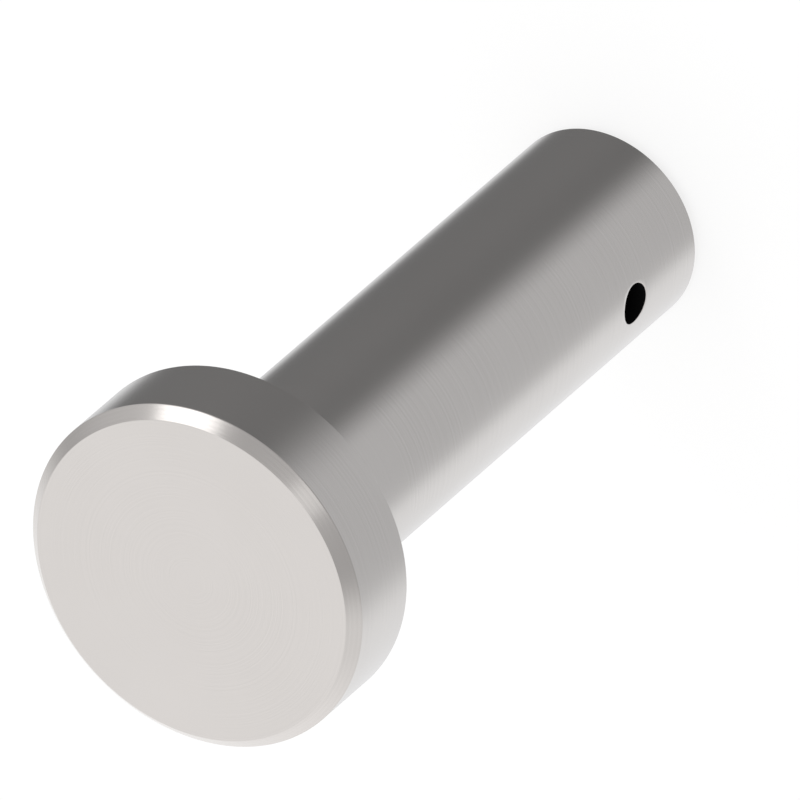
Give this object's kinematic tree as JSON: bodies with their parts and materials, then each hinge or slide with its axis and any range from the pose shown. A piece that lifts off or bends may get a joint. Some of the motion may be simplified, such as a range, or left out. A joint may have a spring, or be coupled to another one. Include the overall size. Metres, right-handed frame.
{
  "type": "swivel pin",
  "caption": "Headed steel swivel pin: plain round shank, thick flat chamfered head, and a cross hole near the free end for a split pin.",
  "frame": {"origin": "centre of the flat free end that the pin stands on", "axes": "+Z along the pin's axis, from the free end up to the head; Y along the split-pin hole"},
  "size_m": [0.028, 0.028, 0.0614],
  "materials": {
    "steel": "satin turned steel, bare"
  },
  "bodies": {
    "root": {"swivel_pin": "steel"}
  },
  "joints": []
}
